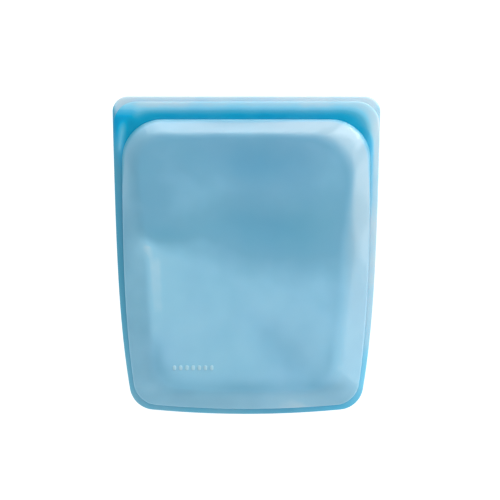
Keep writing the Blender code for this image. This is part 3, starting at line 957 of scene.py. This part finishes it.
def silicone(name, ramp, painted_light_colour, roughness=0.42, specular=0.5, coat=0.2):
    """Satin translucent silicone: its colour follows the piece's tone, with a faint cloudiness, and
    takes in the painted sheen and shade stored on each point.
    """
    material = bpy.data.materials.new(name)
    material.use_nodes = True
    nodes, links = material.node_tree.nodes, material.node_tree.links
    shader = nodes["Principled BSDF"]
    coords = nodes.new("ShaderNodeTexCoord")

    def noise(scale, detail):
        node = nodes.new("ShaderNodeTexNoise")
        node.inputs["Scale"].default_value = scale
        node.inputs["Detail"].default_value = detail
        links.new(coords.outputs["Object"], node.inputs["Vector"])
        return node.outputs["Fac"]

    def remap(source, low, high):
        node = nodes.new("ShaderNodeMapRange")
        node.inputs["From Min"].default_value = NOISE_LOW
        node.inputs["From Max"].default_value = NOISE_HIGH
        node.inputs["To Min"].default_value = low
        node.inputs["To Max"].default_value = high
        links.new(source, node.inputs["Value"])
        return node.outputs["Result"]

    tone = nodes.new("ShaderNodeAttribute")
    tone.attribute_name = "tone"
    cloudy = nodes.new("ShaderNodeMath")
    cloudy.operation = "ADD"
    links.new(tone.outputs["Fac"], cloudy.inputs[0])
    links.new(remap(noise(CLOUD_SCALE, 2), -CLOUD_TONE, CLOUD_TONE), cloudy.inputs[1])
    colours = nodes.new("ShaderNodeValToRGB")
    stops = colours.color_ramp.elements
    while len(stops) < len(ramp):
        stops.new(0.5)
    for stop, (place, colour) in zip(stops, ramp):
        stop.position = place
        stop.color = (*colour, 1)
    links.new(cloudy.outputs["Value"], colours.inputs["Fac"])
    sheen_and_shade = nodes.new("ShaderNodeAttribute")
    sheen_and_shade.attribute_name = "sheen_and_shade"
    foot_shade_factor = nodes.new("ShaderNodeMath")
    foot_shade_factor.operation = "MULTIPLY"
    foot_shade_factor.inputs[1].default_value = -1.0
    links.new(sheen_and_shade.outputs["Fac"], foot_shade_factor.inputs[0])

    def mixed(colour_socket, factor_socket, towards):
        node = nodes.new("ShaderNodeMix")
        node.data_type = "RGBA"
        node.inputs["B"].default_value = (*towards, 1)
        links.new(factor_socket, node.inputs["Factor"])
        links.new(colour_socket, node.inputs["A"])
        return node.outputs["Result"]

    painted_light_mix = mixed(colours.outputs["Color"], sheen_and_shade.outputs["Fac"], painted_light_colour)
    tinted = nodes.new("ShaderNodeHueSaturation")
    links.new(mixed(painted_light_mix, foot_shade_factor.outputs["Value"], FOOT_SHADE_COLOUR), tinted.inputs["Color"])
    links.new(remap(noise(HUE_SCALE, 2), *HUES), tinted.inputs["Hue"])
    links.new(tinted.outputs["Color"], shader.inputs["Base Color"])
    worn = remap(noise(WEAR_SCALE, 3), roughness - WEAR, roughness + WEAR)
    links.new(worn, shader.inputs["Roughness"])
    grain = nodes.new("ShaderNodeBump")
    grain.inputs["Strength"].default_value = GRAIN_STRENGTH
    grain.inputs["Distance"].default_value = GRAIN_DEPTH
    links.new(noise(GRAIN_SCALE, 2), grain.inputs["Height"])
    links.new(grain.outputs["Normal"], shader.inputs["Normal"])
    shader.inputs["Subsurface Weight"].default_value = SUBSURFACE
    shader.inputs["Subsurface Scale"].default_value = SUBSURFACE_SCALE
    shader.inputs["Subsurface Radius"].default_value = SUBSURFACE_RADIUS
    shader.inputs["IOR"].default_value = IOR
    shader.inputs["Specular IOR Level"].default_value = specular
    shader.inputs["Coat Weight"].default_value = coat
    shader.inputs["Coat Roughness"].default_value = COAT_ROUGHNESS
    return material


CAMERA_ASIDE = (2.8 * MM, 4.0 * MM)
CAMERA_HEIGHT = 1.103
LENS_MM = 100.0
SENSOR_MM = 36.0


def make_camera(outline):
    data = bpy.data.cameras.new("camera")
    data.lens = LENS_MM
    data.sensor_width = SENSOR_MM
    camera = bpy.data.objects.new("camera", data)
    bpy.context.scene.collection.objects.link(camera)
    middle_y = (outline.top + outline.bottom) / 2
    camera.location = (CAMERA_ASIDE[0], middle_y + CAMERA_ASIDE[1], outline.middle + CAMERA_HEIGHT)
    bpy.context.scene.camera = camera


LIGHTS_AIM = (0, 0, 0.02)
SKY_COLOUR, SKY_STRENGTH = (0.98, 0.99, 1.0, 1), 0.80
# Each light's azimuth, elevation and roll in degrees, its distance, size and radiance, and
# whether only its reflection shows ("gloss"), only its light falls on things ("fill"), or both.
LIGHTS = (
    ("right_softbox", 8, 19, 0, 1.4, (1.3, 0.8), 1.6, "both"),
    ("mouth_softbox", 84, 19, 0, 1.4, (1.3, 0.8), 1.6, "both"),
    ("right_reflection", 10, 11, 0, 1.4, (1.3, 0.5), 2.9, "gloss"),
    ("mouth_reflection", 88, 11, 0, 1.4, (1.75, 0.5), 2.9, "gloss"),
    ("corner_reflection", 48, 20, 0, 1.4, (0.8, 0.5), 5.8, "gloss"),
    ("corner_fill", 43, 11, 0, 0.9, (0.42, 0.05), 38, "fill"),
    ("corner_strip", 49.5, 24.4, -8, 0.9, (0.26, 0.016), 60, "gloss"),
)
FLOOR_SIZE = 6.0
FLOOR_GREY, FLOOR_ROUGHNESS, FLOOR_SPECULAR, FLOOR_GLOW = (0.3, 0.3, 0.3, 1), 0.9, 0.1, 0.9


def softbox(name, azimuth, elevation, roll, distance, size, radiance):
    """An area light of a given radiance, placed by its direction from the bag in degrees."""
    data = bpy.data.lights.new(name, "AREA")
    data.shape = "RECTANGLE"
    data.size, data.size_y = size
    data.energy = radiance * math.pi * size[0] * size[1]
    light = bpy.data.objects.new(name, data)
    bpy.context.scene.collection.objects.link(light)
    a, e = math.radians(azimuth), math.radians(elevation)
    direction = Vector((math.cos(e) * math.cos(a), math.cos(e) * math.sin(a), math.sin(e)))
    light.location = Vector(LIGHTS_AIM) + direction * distance
    light.rotation_euler = direction.to_track_quat("Z", "Y").to_euler()
    if roll:
        light.rotation_euler.rotate_axis("Z", math.radians(roll))
    light.visible_camera = False
    return light


def make_lights():
    world = bpy.data.worlds.new("studio")
    world.use_nodes = True
    background = world.node_tree.nodes["Background"]
    background.inputs["Color"].default_value = SKY_COLOUR
    background.inputs["Strength"].default_value = SKY_STRENGTH
    bpy.context.scene.world = world
    for *placing, shows in LIGHTS:
        light = softbox(*placing)
        light.visible_diffuse = shows != "gloss"
        light.visible_glossy = shows != "fill"


def make_floor():
    bpy.ops.mesh.primitive_plane_add(size=FLOOR_SIZE)
    floor = bpy.context.object
    floor.name = "floor"
    material = bpy.data.materials.new("floor_white")
    material.use_nodes = True
    shader = material.node_tree.nodes["Principled BSDF"]
    shader.inputs["Base Color"].default_value = FLOOR_GREY
    shader.inputs["Roughness"].default_value = FLOOR_ROUGHNESS
    shader.inputs["Specular IOR Level"].default_value = FLOOR_SPECULAR
    shader.inputs["Emission Color"].default_value = (1, 1, 1, 1)
    shader.inputs["Emission Strength"].default_value = FLOOR_GLOW
    floor.data.materials.append(material)


def make_studio():
    make_lights()
    make_floor()
    scene = bpy.context.scene
    scene.view_settings.view_transform = "Standard"
    scene.view_settings.look = "None"
    scene.view_settings.exposure = 0.0


def finish_piece(piece, material, nodes):
    piece.data.materials.clear()
    piece.data.materials.append(material)
    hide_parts(*nodes)


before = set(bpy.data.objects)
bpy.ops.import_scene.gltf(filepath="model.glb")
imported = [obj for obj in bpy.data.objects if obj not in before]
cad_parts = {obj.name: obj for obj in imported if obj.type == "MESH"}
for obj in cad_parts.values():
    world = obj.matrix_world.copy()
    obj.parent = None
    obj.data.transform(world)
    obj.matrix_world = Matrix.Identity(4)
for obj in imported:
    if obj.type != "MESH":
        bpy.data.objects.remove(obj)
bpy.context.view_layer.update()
outline = Outline()
make_camera(outline)
make_studio()

body_material = silicone("silicone_body", BODY_RAMP, PAINTED_SHEEN, specular=0.8, coat=0.4)
rim_material = silicone("silicone_seam", BAND_RAMP, SHADED, specular=0.3, coat=0.1)
lip_material = silicone("silicone_lip", BAND_RAMP, SHADED, specular=0.12, coat=0.04)
closure_material = silicone("silicone_closure", BAND_RAMP, SHADED, specular=0.2, coat=0.1)
mark_material = silicone("silicone_mark", MARK_RAMP, PAINTED_SHEEN, roughness=0.5)

front_base = outline.seam_high - WALL_SINK
front = wall_shell("front_wall_skin", outline, front_base, outline.front_z, sag, paint_front)
finish_piece(front, body_material, ["front_wall"])
open_with_mouth(front, outline)

back_base = outline.seam_low + WALL_SINK
back = wall_shell("back_wall_skin", outline, back_base, outline.back_z, no_sag, paint_back)
finish_piece(back, body_material, ["back_wall"])
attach(back, "back_half")

band = front_band("front_rim_and_lip", outline)
finish_piece(band, lip_material, ["front_closure_strip", "front_lip"])
open_with_mouth(band, outline)

back_rim = back_band("back_rim_and_lip", outline)
finish_piece(
    back_rim,
    rim_material,
    ["side_seam", "mouth_end_left", "mouth_end_right", "back_closure_strip", "back_lip"],
)
fold_back_lip(back_rim)

rib, channel = closure_profiles()
finish_piece(rib, closure_material, ["seal_rib"])
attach(rib, "back_half")
finish_piece(channel, closure_material, ["seal_channel"])
open_with_mouth(channel, outline)

mark = plain_mark("raised_mark_studs", outline)
finish_piece(mark, mark_material, ["raised_mark"])
open_with_mouth(mark, outline)
